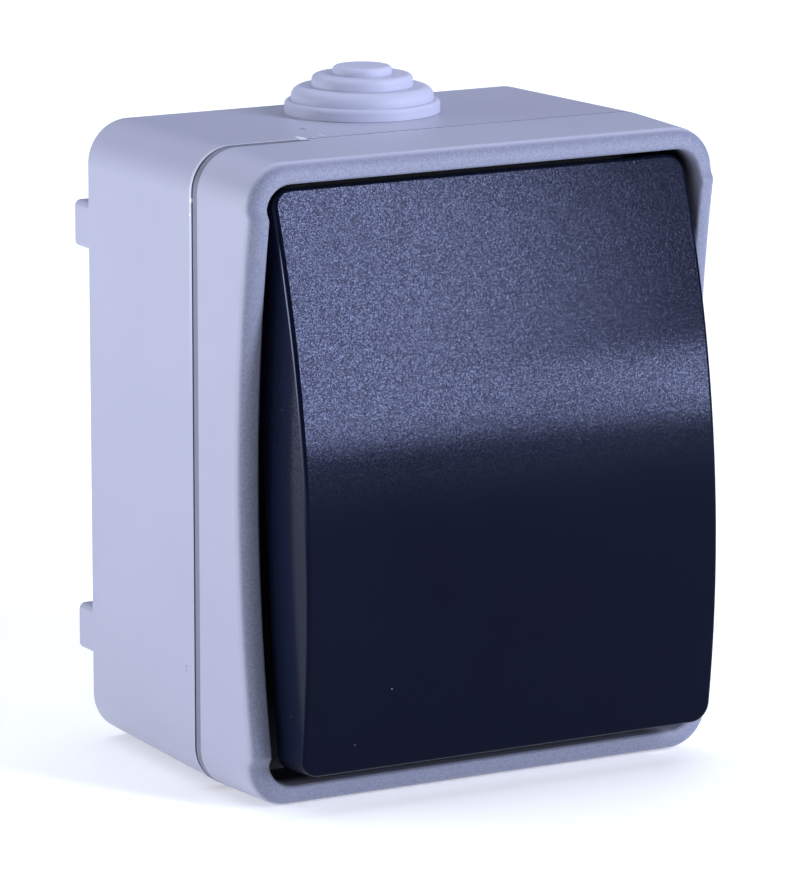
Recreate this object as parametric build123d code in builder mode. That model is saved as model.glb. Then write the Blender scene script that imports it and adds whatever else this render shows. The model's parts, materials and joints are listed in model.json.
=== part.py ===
from build123d import *
from math import cos, radians, sin, tan
import os

# Surface-mounted weatherproof pushbutton switch, in millimetres.
# Z is up, the button faces -Y, and the wall is the plane y = 0. A depth is a distance from the
# wall towards the front, so a point at depth d lies at y = -d.
# The origin is on the wall plane, midway between the two holes for the wall screws.

# Outer box
housing_width = 66.0
housing_height = 79.4
housing_corner_radius = 5.45
stand_off = 3.4
rear_depth = 29.3
cover_depth = 13.7
rear_draft = 0.94
cover_draft = 1.38
rear_wall = 2.4
back_edge_radius = 0.5

# Joint between box and cover
split_groove_width = 0.4
split_groove_depth = 0.7
tongue_inset = 1.2
tongue_thickness = 1.0
tongue_height = 1.6
seal_height = 1.0
seal_clearance = 0.1

# Stand-off feet and wall screws
foot_width = 7.5
foot_height = 5.9
foot_spacing = 51.7
foot_edge_radius = 0.8
wall_screw_spacing = 60.0
wall_screw_radius = 2.3
wall_boss_radius = 4.5
wall_boss_rise = 1.2

# Cable gland
gland_depth = 15.4
gland_hole_radius = 8.0
gland_seat_rise = 0.2
gland_radii = (9.75, 8.95, 6.35, 3.75)
gland_heights = (1.5, 3.2, 4.7, 5.75)
gland_edge_radii = (0.5, 1.3, 0.7, 0.6)
gland_skin = 1.1
gland_lip_radius = 9.2
gland_lip_height = 1.0
gland_clearance = 0.1

# Front cover
cover_inner_wall = 4.0
rim_width = 2.85
opening_depth = 8.4
opening_corner_radius = 3.2
deck_thickness = 2.0
rim_radius = 1.9
opening_edge_radius = 0.4
edge_tolerance = 0.01
scoop_sink = 2.3
scoop_crest_rise = 0.65
crest_offset = 7.2
corner_flat_length = 5.4
window_clearance = 0.5

# Rocker button
pivot_rise = 1.4
rest_tilt = 5.25
button_side_gap = 1.3
button_end_gap = 1.4
button_top_reach = 8.65
button_apex_reach = 13.65
button_bottom_reach = 9.45
button_skirt_reach = 3.4
button_wall = 1.8
button_corner_radius = 2.4
button_edge_radius = 0.55
button_rib_thickness = 1.2
button_rib_height = 3.0
button_rib_spacing = 32.0
clip_width = 10.0
clip_thickness = 1.4
clip_catch = 0.8
clip_clearance = 0.1
clip_nib = 1.0
pad_width = 3.0

# Actuator
trunnion_radius = 2.0
trunnion_clearance = 0.05
trunnion_length = 2.3
hub_radius = 3.6
cradle_half_width = 11.7
cradle_reach = 2.5
cradle_thickness = 1.5
cradle_end_inset = 2.0
stem_radius = 3.2
stem_length = 8.0
plunger_radius = 1.95
plunger_clearance = 0.06
bore_bottom_reach = 0.5
plunger_tip_reach = 13.4
plunger_tip_radius = 1.5
plunger_shank_length = 8.9
plunger_spigot_radius = 0.8
plunger_spigot_length = 1.5

# Springs
return_spring_radius = 1.75
return_spring_wire = 0.45
return_spring_turns = 5
return_spring_inset = 3.0
spring_spigot_radius = 1.2
spring_spigot_length = 1.2
plunger_spring_radius = 1.35
plunger_spring_wire = 0.35
plunger_spring_turns = 5
spring_clearance = 0.12

# Mechanism block
base_thickness = 20.0
base_side_wall = 5.0
base_wall = 1.8
back_hollow_wall = 2.7
base_corner_radius = 1.5
base_recess_depth = 4.0
cavity_half_width = 12.0
cavity_half_height = 12.0
cavity_end_wall = 2.5
wire_hole_radius = 2.0
ear_half_height = 5.0
ear_thickness = 3.0
ear_length = 11.0

# Bearing frame
mechanism_seal_thickness = 1.1
frame_ledge = 2.0
frame_thickness = 1.9
collar_end_inset = 2.0
collar_wall = 1.5
collar_height = 3.6
cheek_thickness = 2.5
cheek_clearance = 0.3
cheek_radius = 4.0
stem_window_half_width = 4.6
stem_window_half_height = 4.6
snap_half_width = 4.0
snap_thickness = 1.25
snap_length = 6.9
snap_nib = 0.5
snap_nib_height = 1.2
snap_clearance = 0.1

# Contacts
lever_pivot_clearance = 0.1
plunger_tip_clearance = 0.2
lever_thickness = 1.0
lever_end_clearance = 2.0
lever_half_width = 4.0
lever_end_radius = 2.0
lever_tilt = 5.0
lever_ear_height = 2.0
lever_ear_half_length = 4.0
lever_ear_thickness = 0.8
strip_half_width = 3.0
strip_thickness = 1.0
strip_slot_clearance = 0.2
common_strip_end = 1.5
knife_height = 2.6
knife_half_thickness = 1.2
fixed_strip_end = 5.5
tip_radius = 1.6
tip_height = 0.75
tip_edge_radius = 0.3
tip_shank_radius = 0.8
closed_tip_clearance = 0.08

# Terminals
cage_half_width = 4.2
cage_wall = 1.2
cage_length = 6.0
cage_side_clearance = 0.8
cage_end_clearance = 0.6
cage_window_depth = 4.9
cage_top_thickness = 3.2
terminal_screw_radius = 1.6
terminal_head_radius = 3.0
terminal_head_height = 1.8
terminal_screw_length = 6.0

# Fasteners
cover_screw_x = 23.0
cover_screw_z = 28.0
screw_radius = 1.45
screw_clearance = 0.05
screw_head_radius = 2.9
screw_head_height = 1.9
screw_head_edge = 0.5
screw_slot_width = 0.8
screw_slot_depth = 0.9
screw_slot_angle = 35
cover_screw_length = 12.0
mechanism_screw_length = 9.0
post_hole_length = 13.0
post_radius = 3.6
post_rib_thickness = 1.5

# Places that follow from the sizes above
split_depth = stand_off + rear_depth
front_depth = split_depth + cover_depth
floor_depth = stand_off + rear_wall
rear_inset = rear_depth * tan(radians(rear_draft))
half_height = housing_height / 2
opening_width = housing_width - 2 * rim_width
opening_height = housing_height - 2 * rim_width
deck_front_depth = front_depth - opening_depth
deck_depth = deck_front_depth - deck_thickness
frame_front_depth = deck_depth - mechanism_seal_thickness
base_front_depth = frame_front_depth - frame_thickness
base_back_depth = base_front_depth - base_thickness
pivot_depth = deck_front_depth + pivot_rise
lever_front_depth = pivot_depth - plunger_tip_reach - plunger_tip_clearance
lever_pivot_depth = lever_front_depth - lever_thickness - lever_pivot_clearance
base_half_width = cavity_half_width + base_side_wall
pocket_half_width = cage_half_width + cage_side_clearance
pocket_inner_height = cavity_half_height + cavity_end_wall
pocket_outer_height = pocket_inner_height + cage_length + 2 * cage_end_clearance
base_half_height = pocket_outer_height + base_wall
cage_offset = (pocket_inner_height + pocket_outer_height) / 2
lever_half_height = cavity_half_height - lever_end_clearance
tip_offset = lever_half_height - tip_radius
frame_half_height = cavity_half_height + frame_ledge
collar_half_height = frame_half_height - collar_end_inset
collar_half_width = cradle_half_width + cheek_clearance + cheek_thickness
cradle_half_height = collar_half_height - cradle_end_inset
return_spring_offset = cradle_half_height - return_spring_inset
strip_front_depth = lever_pivot_depth - knife_height
cavity_floor_depth = strip_front_depth - strip_thickness
cage_back_depth = cavity_floor_depth - cage_wall
ear_screw_offset = base_half_width + ear_length - ear_half_height
cover_screw_points = [(-cover_screw_x, cover_screw_z), (cover_screw_x, -cover_screw_z)]
ear_screw_points = [(-ear_screw_offset, 0), (ear_screw_offset, 0)]
wall_screw_points = [(0, -wall_screw_spacing / 2), (0, wall_screw_spacing / 2)]
gland_hole_top = half_height - (split_depth - gland_depth) * tan(radians(rear_draft))
gland_seat_height = gland_hole_top + gland_seat_rise
gland_ceiling = gland_hole_top - rear_wall
gland_lip_top = gland_ceiling - gland_lip_radius * tan(radians(rear_draft)) - gland_clearance
gland_bore_radii = [radius - gland_skin for radius in gland_radii[2:]]
crest_room_depth = front_depth + scoop_sink
crest_room_inset = (crest_room_depth - split_depth) * tan(radians(cover_draft))
crest_depth = front_depth + scoop_crest_rise
crest_height = half_height - crest_offset
corner_flat_start = half_height - corner_flat_length
post_rib_width = housing_width / 2 - rear_wall / 2 - rear_inset - cover_screw_x
post_rib_centre = cover_screw_x + post_rib_width / 2
post_rib_points = [(-post_rib_centre, cover_screw_z), (post_rib_centre, -cover_screw_z)]
button_width = opening_width - 2 * button_side_gap
button_height = opening_height - 2 * button_end_gap
rib_bay_width = button_rib_spacing - button_rib_thickness
side_bay_width = (button_width - button_rib_spacing - button_rib_thickness) / 2 - button_wall
side_bay_centre = (button_rib_spacing + button_rib_thickness + side_bay_width) / 2
button_bays = [
    (-side_bay_centre, side_bay_width),
    (0, rib_bay_width),
    (side_bay_centre, side_bay_width),
]
cradle_front_reach = cradle_reach + cradle_thickness
button_core_reach = button_apex_reach - button_wall / 2
clip_end_reach = cradle_reach - clip_clearance - clip_nib
clip_height = cradle_half_height + clip_clearance + clip_thickness / 2
catch_height = cradle_half_height + (clip_clearance - clip_catch) / 2
pad_spacing = 2 * cradle_half_width - pad_width
plunger_back_reach = plunger_shank_length - plunger_tip_reach
frame_half_width = base_half_width + snap_clearance + snap_thickness
snap_end_depth = frame_front_depth - snap_length
return_spring_height = cradle_reach * sin(radians(rest_tilt)) - return_spring_offset * cos(radians(rest_tilt))
cradle_back_depth = (
    pivot_depth
    + cradle_reach * cos(radians(rest_tilt))
    + return_spring_offset * sin(radians(rest_tilt))
)
return_spring_lean = (return_spring_radius + return_spring_wire / 2) * tan(radians(rest_tilt))
return_spring_length = cradle_back_depth - frame_front_depth - return_spring_lean - spring_clearance
back_hollow_width = base_half_width - back_hollow_wall
back_hollow_height = base_half_height - back_hollow_wall
cage_outer_height = cage_offset + cage_length / 2
cage_front_depth = cavity_floor_depth + cage_window_depth + cage_top_thickness
wire_depth = strip_front_depth + (cage_window_depth - strip_thickness) / 2
closed_tip_depth = (
    lever_pivot_depth
    - (tip_height - lever_pivot_clearance) * cos(radians(lever_tilt))
    - (tip_offset + tip_radius - tip_edge_radius) * sin(radians(lever_tilt))
)
fixed_tip_height = closed_tip_depth - closed_tip_clearance - strip_front_depth


def front_plane(depth):
    """Plane parallel to the wall at this depth, facing the front: X to the right, Z up."""
    return Plane.XZ.offset(depth)


def leaning_plane(depth, tilt, reach):
    """Plane this far in front of a pivot, leaned back at the top by the tilt."""
    forward = (0, -cos(radians(tilt)), sin(radians(tilt)))
    return Plane(origin=(0, -depth, 0), x_dir=(1, 0, 0), z_dir=forward).offset(reach)


def rocker_plane(reach):
    return leaning_plane(pivot_depth, rest_tilt, reach)


def lever_plane(reach):
    return leaning_plane(lever_pivot_depth, -lever_tilt, reach)


def section_plane(depth=0.0, tilt=0.0, x=0.0):
    """Plane across the switch: its own x points to the front and its own y up."""
    forward = (0, -cos(radians(tilt)), sin(radians(tilt)))
    return Plane(origin=(x, -depth, 0), x_dir=forward, z_dir=(-1, 0, 0))


def lies_on_rim(edge):
    """Whether an edge runs round the outside of the cover's front."""
    ahead = -edge.bounding_box().max.Y > front_depth - 2 * scoop_sink
    inside = abs(edge.center().X) < rim_radius and abs(edge.center().Z) < half_height - rim_width
    return ahead and not inside


def lies_on_opening(edge):
    """Whether an edge runs round the front end of the cover's opening."""
    ahead = -edge.bounding_box().max.Y > front_depth - 2 * scoop_sink
    inside = all(
        abs(end.X) < opening_width / 2 + edge_tolerance
        and abs(end.Z) < opening_height / 2 + edge_tolerance
        for end in edge.vertices()
    )
    return ahead and inside


def rounded_outline(depth, width, height, radius):
    with BuildSketch(front_plane(depth)) as outline:
        RectangleRounded(width, height, radius)
    return outline.sketch


def rim_outline(depth, inset, thickness):
    """Band that follows the outline of the box at the joint, this far inside it."""
    width = housing_width - 2 * inset
    height = housing_height - 2 * inset
    radius = housing_corner_radius - inset
    with BuildSketch(front_plane(depth)) as outline:
        RectangleRounded(width, height, radius)
        RectangleRounded(
            width - 2 * thickness, height - 2 * thickness, radius - thickness, mode=Mode.SUBTRACT
        )
    return outline.sketch


def button_profile(inset, x=0.0):
    """Side profile of the button at this x, drawn in from its outer skin by the inset."""
    half = button_height / 2
    open_reach = button_skirt_reach - inset
    with BuildSketch(section_plane(pivot_depth, rest_tilt, x)) as profile:
        with BuildLine():
            Polyline(
                (button_top_reach, half),
                (open_reach, half),
                (open_reach, -half),
                (button_bottom_reach, -half),
            )
            ThreePointArc((button_bottom_reach, -half), (button_apex_reach, 0), (button_top_reach, half))
        make_face()
        if inset:
            offset(amount=-inset, kind=Kind.INTERSECTION)
    return profile.sketch


def coil_spring(plane, length, radius, wire, turns):
    """Compression spring that stands on the plane."""
    axis_start = plane.origin + plane.z_dir * (wire / 2)
    with BuildPart() as spring:
        with BuildLine() as route:
            Helix(
                pitch=(length - wire) / turns,
                height=length - wire,
                radius=radius,
                center=axis_start,
                direction=plane.z_dir,
            )
        with BuildSketch(Plane(origin=route.line @ 0, z_dir=route.line % 0)):
            Circle(wire / 2)
        sweep(path=route.line, is_frenet=True)
    return spring


def slotted_screws(plane, points, head_radius, head_height, shank_radius, shank_length):
    """Screws with slotted heads that stand on the plane."""
    with BuildPart() as screws:
        with BuildSketch(plane):
            with Locations(*points):
                Circle(head_radius)
        extrude(amount=head_height)
        fillet(screws.edges().group_by(Axis(plane.origin, plane.z_dir))[-1], screw_head_edge)
        with BuildSketch(plane.offset(head_height)):
            with Locations(*points):
                Rectangle(2 * head_radius, screw_slot_width, rotation=screw_slot_angle)
        extrude(amount=-screw_slot_depth, mode=Mode.SUBTRACT)
        with BuildSketch(plane):
            with Locations(*points):
                Circle(shank_radius)
        extrude(amount=-shank_length)
    return screws


# Rear housing: drafted box with feet, bosses for the wall screws and posts for the inner screws
with BuildPart() as rear_housing:
    loft(
        [
            rounded_outline(
                stand_off,
                housing_width - 2 * rear_inset,
                housing_height - 2 * rear_inset,
                housing_corner_radius,
            ),
            rounded_outline(split_depth, housing_width, housing_height, housing_corner_radius),
        ]
    )
    fillet(rear_housing.faces().sort_by(Axis.Y)[-1].edges(), back_edge_radius)
    with BuildSketch(Plane.XY.offset(gland_ceiling)):
        with Locations((0, -gland_depth)):
            Circle(gland_radii[0])
    extrude(amount=gland_seat_height - gland_ceiling)
    loft(
        [
            rounded_outline(
                floor_depth,
                housing_width - 2 * (rear_wall + rear_inset),
                housing_height - 2 * (rear_wall + rear_inset),
                housing_corner_radius - rear_wall,
            ),
            rounded_outline(
                split_depth,
                housing_width - 2 * rear_wall,
                housing_height - 2 * rear_wall,
                housing_corner_radius - rear_wall,
            ),
        ],
        mode=Mode.SUBTRACT,
    )
    extrude(
        rim_outline(split_depth - split_groove_width, 0, split_groove_depth),
        amount=split_groove_width,
        mode=Mode.SUBTRACT,
    )
    extrude(rim_outline(split_depth, tongue_inset, tongue_thickness), amount=tongue_height)
    with BuildSketch(Plane.XY.offset(gland_ceiling - rear_wall)):
        with Locations((0, -gland_depth)):
            Circle(gland_hole_radius)
    extrude(amount=2 * rear_wall + gland_seat_rise, mode=Mode.SUBTRACT)
    with BuildSketch(front_plane(0)):
        with GridLocations(housing_width - 2 * rear_inset - foot_width, foot_spacing, 2, 2):
            RectangleRounded(foot_width, foot_height, foot_edge_radius)
        with Locations(*wall_screw_points):
            Circle(wall_boss_radius)
    extrude(amount=stand_off + rear_wall / 2)
    with BuildSketch(front_plane(stand_off + rear_wall / 2)):
        with Locations(*wall_screw_points):
            Circle(wall_boss_radius)
    extrude(amount=rear_wall / 2 + wall_boss_rise)
    with BuildSketch(front_plane(0)):
        with Locations(*wall_screw_points):
            Circle(wall_screw_radius)
    extrude(amount=floor_depth + wall_boss_rise, mode=Mode.SUBTRACT)
    with BuildSketch(front_plane(floor_depth - rear_wall / 2)):
        with Locations(*cover_screw_points):
            Circle(post_radius)
    extrude(amount=deck_depth - floor_depth + rear_wall / 2)
    with BuildSketch(front_plane(floor_depth - rear_wall / 2)):
        with Locations(*post_rib_points):
            Rectangle(post_rib_width, post_rib_thickness)
    extrude(amount=split_depth - floor_depth)
    with BuildSketch(front_plane(floor_depth - rear_wall / 2)):
        with Locations(*ear_screw_points):
            Circle(post_radius)
    extrude(amount=base_back_depth - floor_depth + rear_wall / 2)
    with BuildSketch(front_plane(deck_depth)):
        with Locations(*cover_screw_points):
            Circle(screw_radius + screw_clearance)
    extrude(amount=-post_hole_length, mode=Mode.SUBTRACT)
    with BuildSketch(front_plane(base_back_depth)):
        with Locations(*ear_screw_points):
            Circle(screw_radius + screw_clearance)
    extrude(amount=floor_depth - base_back_depth, mode=Mode.SUBTRACT)

# Cable gland: stepped hollow rubber cap, with a lip under the edge of its hole
with BuildPart() as cable_gland:
    for radius, height, edge_radius in zip(gland_radii, gland_heights, gland_edge_radii):
        with BuildSketch(Plane.XY.offset(gland_seat_height)):
            with Locations((0, -gland_depth)):
                Circle(radius)
        extrude(amount=height)
        fillet(cable_gland.edges().group_by(Axis.Z)[-1], edge_radius)
    with BuildSketch(Plane.XY.offset(gland_lip_top)):
        with Locations((0, -gland_depth)):
            Circle(gland_hole_radius - gland_clearance)
    extrude(amount=gland_seat_height - gland_lip_top)
    with BuildSketch(Plane.XY.offset(gland_lip_top)):
        with Locations((0, -gland_depth)):
            Circle(gland_lip_radius)
    extrude(amount=-gland_lip_height)
    for radius, height in zip(gland_bore_radii, gland_heights[1:]):
        with BuildSketch(Plane.XY.offset(gland_lip_top - gland_lip_height)):
            with Locations((0, -gland_depth)):
                Circle(radius)
        bore_top = gland_seat_height + height - gland_skin
        extrude(amount=bore_top - gland_lip_top + gland_lip_height, mode=Mode.SUBTRACT)

# Housing seal: rubber ring between the tongue of the box and the groove of the cover
with BuildPart() as housing_seal:
    extrude(
        rim_outline(split_depth + tongue_height, tongue_inset, tongue_thickness), amount=seal_height
    )

# Front cover: drafted frame with scooped side rims, and a deck behind the button
with BuildPart() as front_cover:
    loft(
        [
            rounded_outline(split_depth, housing_width, housing_height, housing_corner_radius),
            rounded_outline(
                crest_room_depth,
                housing_width - 2 * crest_room_inset,
                housing_height - 2 * crest_room_inset,
                housing_corner_radius,
            ),
        ]
    )
    with BuildSketch(section_plane()):
        with BuildLine():
            flat_top = Line((front_depth, housing_height), (front_depth, corner_flat_start))
            scoop = ThreePointArc(
                (crest_depth, crest_height),
                (front_depth - scoop_sink, 0),
                (crest_depth, -crest_height),
            )
            flat_bottom = Line((front_depth, -corner_flat_start), (front_depth, -housing_height))
            Spline(flat_top @ 1, scoop @ 0, tangents=[flat_top % 1, scoop % 0])
            Spline(scoop @ 1, flat_bottom @ 0, tangents=[scoop % 1, flat_bottom % 0])
            Polyline(
                flat_bottom @ 1,
                (front_depth + cover_depth, -housing_height),
                (front_depth + cover_depth, housing_height),
                flat_top @ 0,
            )
        make_face()
    extrude(amount=housing_width, both=True, mode=Mode.SUBTRACT)
    fillet(front_cover.edges().filter_by(lies_on_rim), rim_radius)
    extrude(
        rounded_outline(
            split_depth,
            housing_width - 2 * cover_inner_wall,
            housing_height - 2 * cover_inner_wall,
            opening_corner_radius,
        ),
        amount=deck_depth - split_depth,
        mode=Mode.SUBTRACT,
    )
    extrude(
        rounded_outline(deck_front_depth, opening_width, opening_height, opening_corner_radius),
        amount=cover_depth,
        mode=Mode.SUBTRACT,
    )
    fillet(front_cover.edges().filter_by(lies_on_opening), opening_edge_radius)
    extrude(
        rim_outline(
            split_depth, tongue_inset - seal_clearance, tongue_thickness + 2 * seal_clearance
        ),
        amount=tongue_height + seal_height,
        mode=Mode.SUBTRACT,
    )
    with BuildSketch(front_plane(deck_depth)):
        Rectangle(
            2 * (collar_half_width + window_clearance), 2 * (collar_half_height + window_clearance)
        )
        with Locations(*cover_screw_points):
            Circle(screw_radius + screw_clearance)
    extrude(amount=deck_thickness, mode=Mode.SUBTRACT)

# Rocker button: hollow cap with a curved face, ribs inside and two clips
with BuildPart() as rocker_button:
    extrude(button_profile(0), amount=button_width / 2, both=True)
    fillet(rocker_button.edges().filter_by(Axis((0, 0, 0), rocker_plane(0).z_dir)), button_corner_radius)
    button_face = rocker_button.faces().sort_by(Axis((0, 0, 0), rocker_plane(0).z_dir))[-1]
    fillet(button_face.edges(), button_edge_radius)
    extrude(
        button_profile(button_wall + button_rib_height),
        amount=button_width / 2 - button_wall,
        both=True,
        mode=Mode.SUBTRACT,
    )
    for bay_x, bay_width in button_bays:
        extrude(button_profile(button_wall, bay_x), amount=bay_width / 2, both=True, mode=Mode.SUBTRACT)
    with BuildSketch(rocker_plane(clip_end_reach)):
        with GridLocations(0, 2 * clip_height, 1, 2):
            Rectangle(clip_width, clip_thickness)
    extrude(amount=button_core_reach - clip_end_reach)
    with BuildSketch(rocker_plane(clip_end_reach)):
        with GridLocations(0, 2 * catch_height, 1, 2):
            Rectangle(clip_width, clip_catch + clip_clearance)
    extrude(amount=clip_nib)
    with BuildSketch(rocker_plane(cradle_front_reach)):
        with GridLocations(pad_spacing, 0, 2, 1):
            Rectangle(pad_width, 2 * cradle_half_height - 2 * pad_width)
    extrude(amount=button_core_reach - cradle_front_reach)

# Rocker actuator: cradle on two trunnions, with a stem that guides the plunger
with BuildPart() as rocker_actuator:
    with BuildSketch(section_plane(pivot_depth, rest_tilt)):
        Circle(hub_radius)
    extrude(amount=cradle_half_width, both=True)
    with BuildSketch(rocker_plane(cradle_reach)):
        Rectangle(2 * cradle_half_width, 2 * cradle_half_height)
    extrude(amount=cradle_thickness)
    with BuildSketch(section_plane(pivot_depth, rest_tilt)):
        Circle(trunnion_radius)
    extrude(amount=cradle_half_width + trunnion_length, both=True)
    with BuildSketch(rocker_plane(-stem_length)):
        Circle(stem_radius)
    extrude(amount=stem_length)
    with BuildSketch(rocker_plane(cradle_reach)):
        with Locations((0, -return_spring_offset)):
            Circle(spring_spigot_radius)
    extrude(amount=-spring_spigot_length)
    with BuildSketch(rocker_plane(-stem_length)):
        Circle(plunger_radius + plunger_clearance)
    extrude(amount=stem_length + bore_bottom_reach, mode=Mode.SUBTRACT)

# Plunger: sliding pin with a domed tip and a spigot for its spring
with BuildPart() as plunger:
    with BuildSketch(rocker_plane(-plunger_tip_reach)):
        Circle(plunger_radius)
    extrude(amount=plunger_shank_length)
    fillet(plunger.edges().sort_by(Axis.Y)[-1], plunger_tip_radius)
    with BuildSketch(rocker_plane(plunger_back_reach)):
        Circle(plunger_spigot_radius)
    extrude(amount=plunger_spigot_length)

plunger_spring = coil_spring(
    rocker_plane(plunger_back_reach + spring_clearance / 2),
    bore_bottom_reach - plunger_back_reach - spring_clearance,
    plunger_spring_radius,
    plunger_spring_wire,
    plunger_spring_turns,
)

return_spring = coil_spring(
    Plane(
        origin=(0, -frame_front_depth - spring_clearance / 2, return_spring_height),
        x_dir=(1, 0, 0),
        z_dir=(0, -1, 0),
    ),
    return_spring_length,
    return_spring_radius,
    return_spring_wire,
    return_spring_turns,
)

# Mechanism base: moulded block with a cavity for the contacts, a pocket for each terminal,
# hollows behind, and an ear on each side
with BuildPart() as mechanism_base:
    extrude(
        rounded_outline(base_back_depth, 2 * base_half_width, 2 * base_half_height, base_corner_radius),
        amount=base_front_depth - base_back_depth,
    )
    with BuildSketch(front_plane(base_back_depth)):
        SlotCenterToCenter(2 * ear_screw_offset, 2 * ear_half_height)
    extrude(amount=ear_thickness)
    with BuildSketch(front_plane(base_back_depth)):
        with GridLocations(back_hollow_width + base_wall, back_hollow_height + base_wall, 2, 2):
            Rectangle(back_hollow_width, back_hollow_height)
    extrude(amount=base_recess_depth, mode=Mode.SUBTRACT)
    with BuildSketch(front_plane(cavity_floor_depth)):
        Rectangle(2 * cavity_half_width, 2 * cavity_half_height)
    extrude(amount=base_front_depth - cavity_floor_depth, mode=Mode.SUBTRACT)
    with BuildSketch(front_plane(cage_back_depth)):
        with GridLocations(0, 2 * cage_offset, 1, 2):
            Rectangle(2 * pocket_half_width, pocket_outer_height - pocket_inner_height)
    extrude(amount=base_front_depth - cage_back_depth, mode=Mode.SUBTRACT)
    with BuildSketch(front_plane(cavity_floor_depth)):
        Rectangle(2 * (strip_half_width + strip_slot_clearance), 2 * pocket_inner_height)
    extrude(amount=strip_thickness + strip_slot_clearance, mode=Mode.SUBTRACT)
    with BuildSketch(Plane.XY):
        with Locations((0, -wire_depth)):
            Circle(wire_hole_radius)
    extrude(amount=base_half_height, both=True, mode=Mode.SUBTRACT)
    with BuildSketch(front_plane(snap_end_depth - snap_clearance)):
        with GridLocations(2 * base_half_width, 0, 2, 1):
            Rectangle(2 * (snap_nib + snap_clearance), 2 * (snap_half_width + snap_clearance))
    extrude(amount=snap_nib_height + 2 * snap_clearance, mode=Mode.SUBTRACT)
    with BuildSketch(front_plane(base_back_depth)):
        with Locations(*ear_screw_points):
            Circle(screw_radius + screw_clearance)
    extrude(amount=ear_thickness, mode=Mode.SUBTRACT)

# Bearing frame: plate with a collar through the deck, two cheeks for the trunnions and two snaps
with BuildPart() as bearing_frame:
    with BuildSketch(front_plane(base_front_depth)):
        Rectangle(2 * frame_half_width, 2 * frame_half_height)
    extrude(amount=frame_thickness)
    with BuildSketch(front_plane(frame_front_depth)):
        Rectangle(2 * collar_half_width, 2 * collar_half_height)
    extrude(amount=collar_height)
    with BuildSketch(section_plane(pivot_depth)):
        Circle(cheek_radius)
        with Locations((-(pivot_depth - frame_front_depth) / 2, 0)):
            Rectangle(pivot_depth - frame_front_depth, 2 * cheek_radius)
    extrude(amount=collar_half_width, both=True)
    with BuildSketch(front_plane(frame_front_depth)):
        Rectangle(
            2 * (collar_half_width - cheek_thickness), 2 * (collar_half_height - collar_wall)
        )
    extrude(amount=pivot_depth, mode=Mode.SUBTRACT)
    with BuildSketch(section_plane(pivot_depth)):
        Circle(trunnion_radius + trunnion_clearance)
    extrude(amount=collar_half_width, both=True, mode=Mode.SUBTRACT)
    with BuildSketch(front_plane(base_front_depth)):
        Rectangle(2 * stem_window_half_width, 2 * stem_window_half_height)
    extrude(amount=frame_thickness, mode=Mode.SUBTRACT)
    with BuildSketch(front_plane(snap_end_depth)):
        with GridLocations(2 * frame_half_width - snap_thickness, 0, 2, 1):
            Rectangle(snap_thickness, 2 * snap_half_width)
    extrude(amount=snap_length)
    with BuildSketch(front_plane(snap_end_depth)):
        with GridLocations(2 * base_half_width + snap_clearance - snap_nib, 0, 2, 1):
            Rectangle(snap_nib + snap_clearance, 2 * snap_half_width)
    extrude(amount=snap_nib_height)
    with BuildSketch(front_plane(frame_front_depth)):
        with Locations((0, return_spring_height)):
            Circle(spring_spigot_radius)
    extrude(amount=spring_spigot_length)

# Mechanism seal: flat rubber frame round the collar
with BuildPart() as mechanism_seal:
    with BuildSketch(front_plane(frame_front_depth)):
        Rectangle(2 * (frame_half_width - seal_clearance), 2 * (frame_half_height - seal_clearance))
        Rectangle(
            2 * (collar_half_width + seal_clearance),
            2 * (collar_half_height + seal_clearance),
            mode=Mode.SUBTRACT,
        )
    extrude(amount=deck_depth - frame_front_depth)

# Contact lever: seesaw plate with two ears beside the plunger
with BuildPart() as contact_lever:
    with BuildSketch(lever_plane(lever_pivot_clearance)):
        RectangleRounded(2 * lever_half_width, 2 * lever_half_height, lever_end_radius)
    extrude(amount=lever_thickness)
    with BuildSketch(lever_plane(lever_pivot_clearance)):
        with GridLocations(2 * lever_half_width - lever_ear_thickness, 0, 2, 1):
            Rectangle(lever_ear_thickness, 2 * lever_ear_half_length)
    extrude(amount=lever_thickness + lever_ear_height)
    with BuildSketch(lever_plane(lever_pivot_clearance)):
        with Locations((0, tip_offset)):
            Circle(tip_shank_radius)
    extrude(amount=lever_thickness, mode=Mode.SUBTRACT)

# Moving contact tip: rivet at the upper end of the lever
with BuildPart() as moving_contact_tip:
    with BuildSketch(lever_plane(lever_pivot_clearance)):
        with Locations((0, tip_offset)):
            Circle(tip_radius)
    extrude(amount=-tip_height)
    fillet(moving_contact_tip.edges().sort_by(Axis.Y)[-1], tip_edge_radius)
    with BuildSketch(lever_plane(lever_pivot_clearance)):
        with Locations((0, tip_offset)):
            Circle(tip_shank_radius)
    extrude(amount=lever_thickness)

# Fixed contact: strip from the upper terminal to below the upper end of the lever
with BuildPart() as fixed_contact:
    with BuildSketch(front_plane(cavity_floor_depth)):
        with Locations((0, (fixed_strip_end + cage_outer_height) / 2)):
            Rectangle(2 * strip_half_width, cage_outer_height - fixed_strip_end)
    extrude(amount=strip_thickness)
    with BuildSketch(front_plane(cavity_floor_depth)):
        with Locations((0, tip_offset)):
            Circle(tip_shank_radius)
    extrude(amount=strip_thickness, mode=Mode.SUBTRACT)

# Fixed contact tip: rivet that the moving tip closes on
with BuildPart() as fixed_contact_tip:
    with BuildSketch(front_plane(strip_front_depth)):
        with Locations((0, tip_offset)):
            Circle(tip_radius)
    extrude(amount=fixed_tip_height)
    fillet(fixed_contact_tip.edges().sort_by(Axis.Y)[0], tip_edge_radius)
    with BuildSketch(front_plane(strip_front_depth)):
        with Locations((0, tip_offset)):
            Circle(tip_shank_radius)
    extrude(amount=-strip_thickness)

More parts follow.
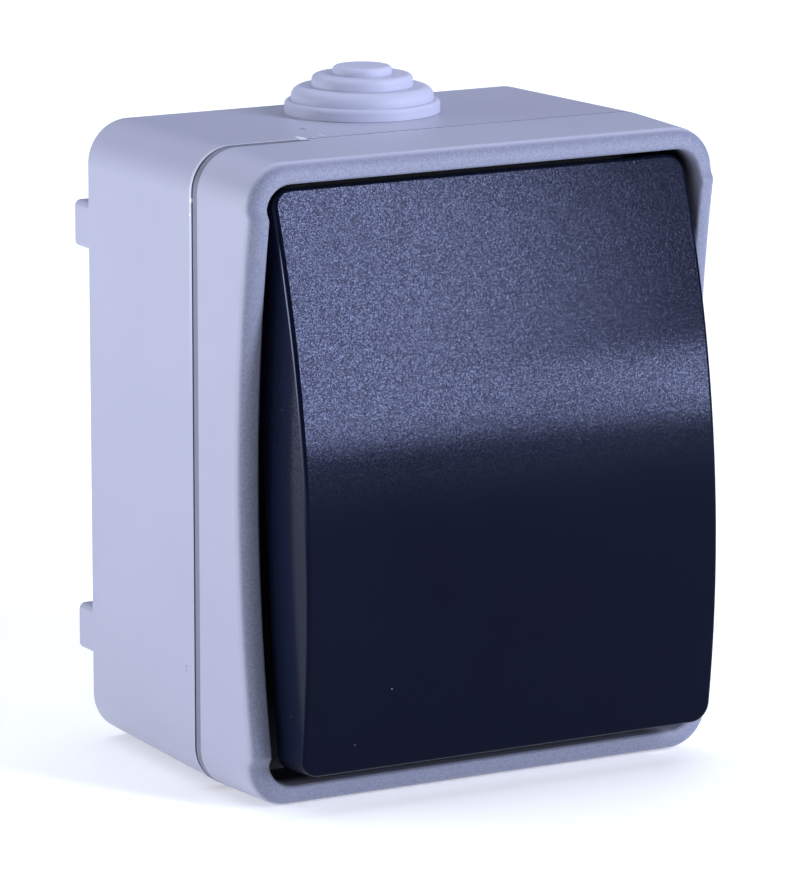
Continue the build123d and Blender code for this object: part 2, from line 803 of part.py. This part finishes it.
# Common contact: strip from the lower terminal, with the knife edge that the lever rocks on
with BuildPart() as common_contact:
    with BuildSketch(front_plane(cavity_floor_depth)):
        with Locations((0, (common_strip_end - cage_outer_height) / 2)):
            Rectangle(2 * strip_half_width, common_strip_end + cage_outer_height)
    extrude(amount=strip_thickness)
    with BuildSketch(section_plane()):
        with BuildLine():
            Polyline(
                (strip_front_depth, knife_half_thickness),
                (lever_pivot_depth, 0),
                (strip_front_depth, -knife_half_thickness),
                close=True,
            )
        make_face()
    extrude(amount=strip_half_width, both=True)


def cage_terminal(height):
    """Brass cage round the end of a contact strip, with a hole for its screw in front."""
    with BuildPart() as cage:
        with BuildSketch(Plane.XY.offset(height - cage_length / 2)):
            with Locations((0, -(cage_back_depth + cage_front_depth) / 2)):
                Rectangle(2 * cage_half_width, cage_front_depth - cage_back_depth)
            with Locations((0, -cavity_floor_depth - cage_window_depth / 2)):
                Rectangle(
                    2 * (strip_half_width + screw_clearance), cage_window_depth, mode=Mode.SUBTRACT
                )
        extrude(amount=cage_length)
        with BuildSketch(front_plane(cage_front_depth)):
            with Locations((0, height)):
                Circle(terminal_screw_radius + screw_clearance)
        extrude(amount=-cage_top_thickness, mode=Mode.SUBTRACT)
    return cage


line_clamp = cage_terminal(cage_offset)
load_clamp = cage_terminal(-cage_offset)

terminal_screws = slotted_screws(
    front_plane(cage_front_depth),
    [(0, cage_offset), (0, -cage_offset)],
    terminal_head_radius,
    terminal_head_height,
    terminal_screw_radius,
    terminal_screw_length,
)

mechanism_screws = slotted_screws(
    front_plane(base_back_depth + ear_thickness),
    ear_screw_points,
    screw_head_radius,
    screw_head_height,
    screw_radius,
    mechanism_screw_length,
)

cover_screws = slotted_screws(
    front_plane(deck_front_depth),
    cover_screw_points,
    screw_head_radius,
    screw_head_height,
    screw_radius,
    cover_screw_length,
)

pieces = {
    "rear_housing": rear_housing,
    "cable_gland": cable_gland,
    "housing_seal": housing_seal,
    "front_cover": front_cover,
    "cover_screws": cover_screws,
    "rocker_button": rocker_button,
    "rocker_actuator": rocker_actuator,
    "plunger": plunger,
    "plunger_spring": plunger_spring,
    "return_spring": return_spring,
    "mechanism_base": mechanism_base,
    "mechanism_screws": mechanism_screws,
    "bearing_frame": bearing_frame,
    "mechanism_seal": mechanism_seal,
    "contact_lever": contact_lever,
    "moving_contact_tip": moving_contact_tip,
    "fixed_contact": fixed_contact,
    "fixed_contact_tip": fixed_contact_tip,
    "common_contact": common_contact,
    "line_clamp": line_clamp,
    "load_clamp": load_clamp,
    "terminal_screws": terminal_screws,
}

os.makedirs("parts", exist_ok=True)
for name, piece in pieces.items():
    piece.part.label = name
    export_step(piece.part, f"parts/{name}.step")
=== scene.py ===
"""Studio picture of a surface-mounted pushbutton switch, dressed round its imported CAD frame."""

import json
import math

import bpy
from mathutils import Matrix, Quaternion, Vector


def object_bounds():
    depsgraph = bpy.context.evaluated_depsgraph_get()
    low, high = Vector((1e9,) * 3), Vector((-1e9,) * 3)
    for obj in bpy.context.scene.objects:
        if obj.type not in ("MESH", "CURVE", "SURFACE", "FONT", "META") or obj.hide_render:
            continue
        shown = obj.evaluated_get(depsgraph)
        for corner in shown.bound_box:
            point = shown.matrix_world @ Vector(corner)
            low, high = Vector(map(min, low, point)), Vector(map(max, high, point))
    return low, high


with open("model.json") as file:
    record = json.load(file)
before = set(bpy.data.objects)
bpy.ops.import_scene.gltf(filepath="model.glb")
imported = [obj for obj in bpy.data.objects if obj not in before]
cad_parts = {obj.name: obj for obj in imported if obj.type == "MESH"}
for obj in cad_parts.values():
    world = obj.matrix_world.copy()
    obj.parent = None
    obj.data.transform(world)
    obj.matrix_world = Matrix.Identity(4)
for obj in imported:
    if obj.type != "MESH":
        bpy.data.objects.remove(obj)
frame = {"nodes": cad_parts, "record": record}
cad_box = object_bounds()

MM = 0.001

# Camera, worked out from the outlines of the box in the photograph
VIEW_AZIMUTH = -29.55
VIEW_ELEVATION = 11.78
VIEW_DISTANCE = 0.7491
VIEW_TARGET = Vector((-1.95, -28.4, 0.0)) * MM
VIEW_LENS = 246.0

# Studio light
SWITCH_MIDDLE = Vector((0.0, -25.0, 0.0)) * MM
PALE_BLUE = (0.88, 0.93, 1.0)
SKY_BLUE = (0.78, 0.83, 1.0)
WORLD_STRENGTH = 0.08
FLOOR_SIZE = 6.0
FLOOR_GLOW = 0.3

# Recess round the button, which the shell's material darkens with painted shade
RECESS_HALF_WIDTH = 30.5 * MM
RECESS_HALF_HEIGHT = 37.2 * MM
RECESS_DECK_Y = -37.5 * MM
RECESS_LIGHT_Y = -46.0 * MM
RECESS_DARK_Y = -42.0 * MM

# Line between box and cover, with a pale line on the box's edge and a band of painted groove
# shade on the cover's.
# Both show only left of the gland.
PALE_EDGE_Y = -32.0 * MM
PALE_EDGE_HALF_WIDTH = 0.28 * MM
GROOVE_SHADE_Y = -33.2 * MM
GROOVE_SHADE_HALF_WIDTH = 0.55 * MM
LINE_START_X = -17.0 * MM
LINE_FULL_X = -17.6 * MM
PALE_EDGE_START_Z = 5.0 * MM
PALE_EDGE_FULL_Z = 35.0 * MM

# Height at which the button's grain starts to glint, below which it looks plain
GLINT_START_Z = -6.0 * MM
GLINT_FULL_Z = 8.0 * MM

# Colours of the shell and the button
SIDE_TONES = [(0.3, (0.332, 0.34, 0.44)), (0.7, (0.35, 0.357, 0.458))]
# Front colours: the spark-eroded grain's own tone, darkened further by painted shade that also
# covers the rim's outer rounding
FRONT_GRAIN_AND_SHADE_TONES = [(0.2, (0.154, 0.166, 0.235)), (0.8, (0.204, 0.217, 0.294))]
# Painted shade, nearly black, inside the recess round the button
RECESS_PAINTED_SHADE = (0.004, 0.005, 0.009)
# Pale line on the box's edge, then the painted shade of the groove on the cover's edge
PALE_EDGE_COLOUR = (0.5, 0.51, 0.6)
GROOVE_SHADE_COLOUR = (0.15, 0.155, 0.21)
NICK_COLOUR = (0.75, 0.77, 0.85)
SPECK_COLOUR = (0.04, 0.045, 0.09)
BUTTON_TONES = [(0.3, (0.0024, 0.0034, 0.009)), (0.7, (0.003, 0.0042, 0.011))]
# Painted light: the button's left-facing flank is given a lighter, bluer colour
LIT_FLANK_COLOUR = (0.006, 0.0085, 0.022)
DUST_COLOUR = (0.25, 0.26, 0.3)
BUTTON_SHEEN = (0.58, 0.64, 1.0, 1.0)

# Strength of the button's reflection: dark and bright grains, its plain part and its rounding
GRAIN_GLINTS = [(0.25, 0.035), (0.55, 0.06), (0.85, 0.225)]
PLAIN_LEVEL = (0.055, 0.055, 0.055)
ROUNDING_LEVEL = (0.6, 0.6, 0.6)

# Marks on the surfaces, each with its place and radius in millimetres
PALE_NICKS = [
    (-17.6, -32.3, 39.67, 0.5),
    (-17.4, -31.2, 39.67, 0.5),
    (-17.3, -30.2, 39.67, 0.3),
    (-15.8, -31.7, 39.67, 0.2),
    (-14.1, -30.9, 39.66, 0.2),
    (-14.1, -30.1, 39.66, 0.2),
    (-32.98, -32.2, 33.4, 0.3),
    (-32.98, -31.9, 31.6, 0.18),
]
DARK_SPECKS = [
    (-13.5, -24.9, 39.57, 0.28),
    (-13.5, -24.2, 39.57, 0.24),
    (-32.96, -30.2, -24.7, 0.12),
    (-32.96, -30.0, -25.2, 0.1),
]
DUST = [
    (-17.14, -53.24, -24.43, 0.07),
    (-21.86, -52.55, -30.94, 0.05),
    (-28.85, -49.3, -27.3, 0.05),
    (-28.85, -47.35, 9.98, 0.05),
]

# Plain plastics and rubbers: light and dark colour, roughness, grains per metre, grain height
PLASTICS = {
    "gland_rubber": ((0.405, 0.414, 0.535), (0.39, 0.399, 0.517), 0.6, 1200.0, 0.00001),
    "seal_rubber": ((0.02, 0.02, 0.022), (0.012, 0.012, 0.013), 0.7, 1500.0, 0.00002),
    "actuator_plastic": ((0.7, 0.7, 0.66), (0.66, 0.66, 0.62), 0.4, 900.0, 0.00001),
    "insulating_plastic": ((0.74, 0.72, 0.66), (0.7, 0.68, 0.62), 0.5, 700.0, 0.00002),
}

# Metals: light and dark colour, roughness
METALS = {
    "spring_steel": ((0.62, 0.62, 0.62), (0.5, 0.5, 0.5), 0.3),
    "zinc_screw": ((0.7, 0.71, 0.72), (0.58, 0.59, 0.6), 0.32),
    "contact_brass": ((0.78, 0.58, 0.26), (0.68, 0.48, 0.2), 0.3),
    "contact_silver": ((0.88, 0.87, 0.85), (0.78, 0.77, 0.75), 0.22),
}


class NodeMaterial:
    """Short way to build a node material: add nodes, then link them."""

    def __init__(self, name):
        self.material = bpy.data.materials.new(name)
        self.material.use_nodes = True
        self.tree = self.material.node_tree
        self.tree.nodes.clear()
        self.output = self.add("ShaderNodeOutputMaterial")
        self.shader = self.add("ShaderNodeBsdfPrincipled")
        self.link(self.shader, "BSDF", self.output, "Surface")
        self.coordinates = self.add("ShaderNodeTexCoord")
        self.geometry = self.add("ShaderNodeNewGeometry")

    def add(self, kind, **settings):
        """New node of this kind with these settings."""
        node = self.tree.nodes.new(kind)
        for key, value in settings.items():
            setattr(node, key, value)
        return node

    def link(self, source, output, target, socket):
        """Link two nodes by the names of their sockets."""
        self.tree.links.new(source.outputs[output], target.inputs[socket])

    def feed(self, value, target, socket):
        """Link an output socket to the named input of a node."""
        self.tree.links.new(value, target.inputs[socket])

    def noise(self, scale, detail, roughness):
        """Noise in the object's own space, with the scale in features per metre."""
        node = self.add("ShaderNodeTexNoise")
        node.inputs["Scale"].default_value = scale
        node.inputs["Detail"].default_value = detail
        node.inputs["Roughness"].default_value = roughness
        self.link(self.coordinates, "Object", node, "Vector")
        return node

    def cells(self, scale):
        """Small cells with a random colour each, with the scale in cells per metre."""
        node = self.add("ShaderNodeTexVoronoi")
        node.inputs["Scale"].default_value = scale
        self.link(self.coordinates, "Object", node, "Vector")
        return node

    def ramp(self, source, output, stops):
        """Colour ramp; each stop is a position and a grey value or a colour."""
        node = self.add("ShaderNodeValToRGB")
        elements = node.color_ramp.elements
        while len(elements) < len(stops):
            elements.new(0.5)
        for element, (position, colour) in zip(elements, stops):
            element.position = position
            grey = isinstance(colour, (int, float))
            element.color = (colour, colour, colour, 1.0) if grey else (*colour, 1.0)
        self.link(source, output, node, "Fac")
        return node

    def bump(self, source, output, distance, below=None):
        """Bump of this height, on top of the bump below it."""
        node = self.add("ShaderNodeBump")
        node.inputs["Distance"].default_value = distance
        node.inputs["Strength"].default_value = 1.0
        self.link(source, output, node, "Height")
        if below:
            self.link(below, "Normal", node, "Normal")
        return node

    def between(self, source, output, start, end):
        """Smooth step from 0 at the start value to 1 at the end value."""
        node = self.add("ShaderNodeMapRange", interpolation_type="SMOOTHSTEP")
        node.inputs["From Min"].default_value = start
        node.inputs["From Max"].default_value = end
        self.link(source, output, node, "Value")
        return node.outputs["Result"]

    def maths(self, operation, *terms):
        """Maths node on terms that are numbers or sockets."""
        node = self.add("ShaderNodeMath", operation=operation)
        for socket, term in zip(node.inputs, terms):
            if isinstance(term, (int, float)):
                socket.default_value = term
            else:
                self.tree.links.new(term, socket)
        return node.outputs["Value"]

    def product(self, first, *others):
        """Product of sockets."""
        for other in others:
            first = self.maths("MULTIPLY", first, other)
        return first

    def blend(self, factor, first, second):
        """Colour that goes from the first to the second; each is a colour or a socket."""
        node = self.add("ShaderNodeMixRGB")
        self.feed(factor, node, "Fac")
        for name, colour in (("Color1", first), ("Color2", second)):
            if isinstance(colour, tuple):
                node.inputs[name].default_value = (*colour, 1.0)
            else:
                self.feed(colour, node, name)
        return node.outputs["Color"]

    def axes(self, source, output):
        """Node that splits a vector into its X, Y and Z."""
        node = self.add("ShaderNodeSeparateXYZ")
        self.link(source, output, node, "Vector")
        return node

    def spots(self, places):
        """1 inside small round spots, each given by its place and radius in millimetres."""
        total = 0.0
        for x, y, z, radius in places:
            distance = self.add("ShaderNodeVectorMath", operation="DISTANCE")
            self.link(self.coordinates, "Object", distance, 0)
            distance.inputs[1].default_value = Vector((x, y, z)) * MM
            inside = self.between(distance, "Value", 1.3 * radius * MM, 0.7 * radius * MM)
            total = self.maths("MAXIMUM", inside, total)
        return total


def moulded_plastic(name, light, dark, roughness, grain_scale, grain_height):
    """Plain moulded plastic: cloudy colour and a faint skin."""
    m = NodeMaterial(name)
    cloud = m.noise(60.0, 4.0, 0.6)
    shade = m.ramp(cloud, "Fac", [(0.35, dark), (0.65, light)])
    m.link(shade, "Color", m.shader, "Base Color")
    wear = m.ramp(cloud, "Fac", [(0.3, roughness - 0.05), (0.7, roughness + 0.05)])
    m.link(wear, "Color", m.shader, "Roughness")
    skin = m.noise(grain_scale, 3.0, 0.6)
    relief = m.bump(skin, "Fac", grain_height)
    m.link(relief, "Normal", m.shader, "Normal")
    return m


def brushed_metal(name, light, dark, roughness):
    """Drawn or stamped metal with fine streaks."""
    m = NodeMaterial(name)
    m.shader.inputs["Metallic"].default_value = 1.0
    streaks = m.noise(900.0, 3.0, 0.7)
    shade = m.ramp(streaks, "Fac", [(0.3, dark), (0.7, light)])
    m.link(shade, "Color", m.shader, "Base Color")
    gloss = m.ramp(streaks, "Fac", [(0.3, roughness - 0.08), (0.7, roughness + 0.08)])
    m.link(gloss, "Color", m.shader, "Roughness")
    relief = m.bump(streaks, "Fac", 0.00001)
    m.link(relief, "Normal", m.shader, "Normal")
    return m


def paint_recess_shade(m, place, colour):
    """Paint shade, nearly black, inside the recess round the button."""
    across = m.maths("LESS_THAN", m.maths("ABSOLUTE", place.outputs["X"]), RECESS_HALF_WIDTH)
    upright = m.maths("LESS_THAN", m.maths("ABSOLUTE", place.outputs["Z"]), RECESS_HALF_HEIGHT)
    ahead = m.maths("LESS_THAN", place.outputs["Y"], RECESS_DECK_Y)
    sunk = m.between(place, "Y", RECESS_LIGHT_Y, RECESS_DARK_Y)
    return m.blend(m.product(across, upright, ahead, sunk), colour, RECESS_PAINTED_SHADE)


def draw_split_line(m, place, colour):
    """Pale line on the box's edge and painted groove shade on the cover's edge, along the line
    between box and cover.
    """
    left = m.between(place, "X", LINE_START_X, LINE_FULL_X)
    high = m.between(place, "Z", PALE_EDGE_START_Z, PALE_EDGE_FULL_Z)
    pale_edge = m.maths("COMPARE", place.outputs["Y"], PALE_EDGE_Y, PALE_EDGE_HALF_WIDTH)
    colour = m.blend(m.product(pale_edge, left, high), colour, PALE_EDGE_COLOUR)
    groove_shade = m.maths("COMPARE", place.outputs["Y"], GROOVE_SHADE_Y, GROOVE_SHADE_HALF_WIDTH)
    return m.blend(m.product(groove_shade, left), colour, GROOVE_SHADE_COLOUR)


def shell_plastic():
    """Light lilac-grey shell: smooth on its sides, with a spark-eroded grain on its front;
    painted shade darkens the front, the recess and the groove.
    """
    m = NodeMaterial("grey_shell")
    m.shader.inputs["Specular IOR Level"].default_value = 0.3
    place = m.axes(m.coordinates, "Object")
    facing = m.axes(m.geometry, "Normal")
    # Front-facing faces take the darker front colour: partly the grain's own tone, partly painted
    # shade
    shaded_front = m.between(facing, "Y", -0.3, -0.7)
    front = m.between(facing, "Y", -0.72, -0.86)

    side = m.ramp(m.noise(45.0, 3.0, 0.6), "Fac", SIDE_TONES)
    front_grain_and_shade = m.ramp(m.cells(6000.0), "Color", FRONT_GRAIN_AND_SHADE_TONES)
    colour = m.blend(shaded_front, side.outputs["Color"], front_grain_and_shade.outputs["Color"])
    # Painted shade in the recess round the button
    colour = paint_recess_shade(m, place, colour)
    # Pale line and painted groove shade along the split line
    colour = draw_split_line(m, place, colour)
    colour = m.blend(m.spots(PALE_NICKS), colour, NICK_COLOUR)
    colour = m.blend(m.spots(DARK_SPECKS), colour, SPECK_COLOUR)
    m.feed(colour, m.shader, "Base Color")

    m.feed(m.maths("MULTIPLY_ADD", front, 0.15, 0.4), m.shader, "Roughness")
    smooth = m.bump(m.noise(700.0, 2.0, 0.5), "Fac", 0.000004)
    rough = m.bump(m.noise(4500.0, 1.0, 0.5), "Fac", 0.00002, below=smooth)
    m.feed(front, rough, "Strength")
    m.link(rough, "Normal", m.shader, "Normal")
    return m


def button_plastic():
    """Dark blue-grey button with a fine, glinting grain, a few specks of dust and painted light
    on its left flank.
    """
    m = NodeMaterial("anthracite_button")
    m.shader.inputs["Roughness"].default_value = 0.13
    m.shader.inputs["Specular Tint"].default_value = BUTTON_SHEEN
    place = m.axes(m.coordinates, "Object")
    facing = m.axes(m.geometry, "Normal")

    plain = m.ramp(m.noise(40.0, 3.0, 0.6), "Fac", BUTTON_TONES)
    # Painted light: faces turned to the left get a lighter, bluer colour
    lit_flank = m.between(facing, "X", -0.9, -0.97)
    colour = m.blend(lit_flank, plain.outputs["Color"], LIT_FLANK_COLOUR)
    colour = m.blend(m.spots(DUST), colour, DUST_COLOUR)
    m.feed(colour, m.shader, "Base Color")

    upper = m.between(place, "Z", GLINT_START_Z, GLINT_FULL_Z)
    glint = m.ramp(m.cells(9500.0), "Color", GRAIN_GLINTS)
    level = m.blend(upper, PLAIN_LEVEL, glint.outputs["Color"])
    sideways = m.between(facing, "X", -0.6, -0.75)
    forwards = m.between(facing, "Y", -0.1, -0.2)
    level = m.blend(m.product(sideways, forwards, upper), level, ROUNDING_LEVEL)
    m.feed(level, m.shader, "Specular IOR Level")

    relief = m.bump(m.noise(3500.0, 1.0, 0.5), "Fac", 0.000003)
    m.link(relief, "Normal", m.shader, "Normal")
    return m


def build_materials():
    """One material for each slot that the record names."""
    materials = {"grey_shell": shell_plastic(), "anthracite_button": button_plastic()}
    for name, look in PLASTICS.items():
        materials[name] = moulded_plastic(name, *look)
    for name, look in METALS.items():
        materials[name] = brushed_metal(name, *look)
    return materials


def dress_nodes():
    """Give each CAD node the material of its slot."""
    materials = build_materials()
    for subpart in frame["record"]["subparts"]:
        node = frame["nodes"][subpart["node"]]
        node.data.materials.clear()
        node.data.materials.append(materials[subpart["material_slot"]].material)


def towards(azimuth, elevation):
    """Unit vector in a direction in degrees; azimuth 0 is in front, 90 to the right."""
    a = math.radians(azimuth)
    e = math.radians(elevation)
    return Vector((math.sin(a) * math.cos(e), -math.cos(a) * math.cos(e), math.sin(e)))


def softbox(name, azimuth, elevation, distance, width, height, glow, colour, turn=0.0):
    """Area light that faces the switch, in degrees and metres; a glow of 1 looks white."""
    data = bpy.data.lights.new(name, "AREA")
    data.shape = "RECTANGLE"
    data.size = width
    data.size_y = height
    data.energy = glow * math.pi * width * height
    data.color = colour
    light = bpy.data.objects.new(name, data)
    away = towards(azimuth, elevation)
    light.location = SWITCH_MIDDLE + away * distance
    aim = away.to_track_quat("Z", "Y")
    light.rotation_euler = (aim @ Quaternion((0, 0, 1), math.radians(turn))).to_euler()
    bpy.context.scene.collection.objects.link(light)


def build_floor():
    """Plain pale floor under the box."""
    low, _ = cad_box
    mesh = bpy.data.meshes.new("floor")
    sides = [(-1, -1), (1, -1), (1, 1), (-1, 1)]
    corners = [(x * FLOOR_SIZE, y * FLOOR_SIZE, low[2]) for x, y in sides]
    mesh.from_pydata(corners, [], [(0, 1, 2, 3)])
    floor = bpy.data.objects.new("floor", mesh)
    bpy.context.scene.collection.objects.link(floor)
    m = NodeMaterial("floor")
    shade = m.ramp(m.noise(3.0, 2.0, 0.5), "Fac", [(0.3, 0.88), (0.7, 0.9)])
    m.link(shade, "Color", m.shader, "Base Color")
    m.shader.inputs["Roughness"].default_value = 0.9
    m.shader.inputs["Specular IOR Level"].default_value = 0.1
    m.shader.inputs["Emission Color"].default_value = (1.0, 1.0, 1.0, 1.0)
    m.shader.inputs["Emission Strength"].default_value = FLOOR_GLOW
    mesh.materials.append(m.material)


def build_lights():
    """Dim pale world, two large boxes, and two strips that the button mirrors."""
    world = bpy.data.worlds.new("studio")
    world.use_nodes = True
    background = world.node_tree.nodes["Background"]
    background.inputs["Color"].default_value = (*PALE_BLUE, 1.0)
    background.inputs["Strength"].default_value = WORLD_STRENGTH
    bpy.context.scene.world = world
    # Name, azimuth, elevation, distance, width, height, glow, colour and turn
    softbox("left_box", -112, 9, 0.6, 0.5, 0.26, 6.8, PALE_BLUE)
    softbox("top_box", 165, 68, 1.1, 1.9, 1.6, 1.6, SKY_BLUE)
    softbox("tall_strip", 27.8, 21.4, 2.0, 0.32, 1.4, 38.0, SKY_BLUE, -8.0)
    softbox("low_strip", 35.0, 4.4, 2.0, 0.3, 0.22, 38.0, SKY_BLUE)


def build_camera():
    """Long lens from the photograph's viewing angle."""
    data = bpy.data.cameras.new("camera")
    data.lens = VIEW_LENS
    data.sensor_width = 36.0
    data.clip_start = 0.01
    data.clip_end = 50.0
    camera = bpy.data.objects.new("camera", data)
    away = towards(VIEW_AZIMUTH, VIEW_ELEVATION)
    camera.location = VIEW_TARGET + away * VIEW_DISTANCE
    camera.rotation_euler = away.to_track_quat("Z", "Y").to_euler()
    bpy.context.scene.collection.objects.link(camera)
    bpy.context.scene.camera = camera


dress_nodes()
build_floor()
build_lights()
build_camera()
bpy.context.scene.view_settings.view_transform = "Standard"
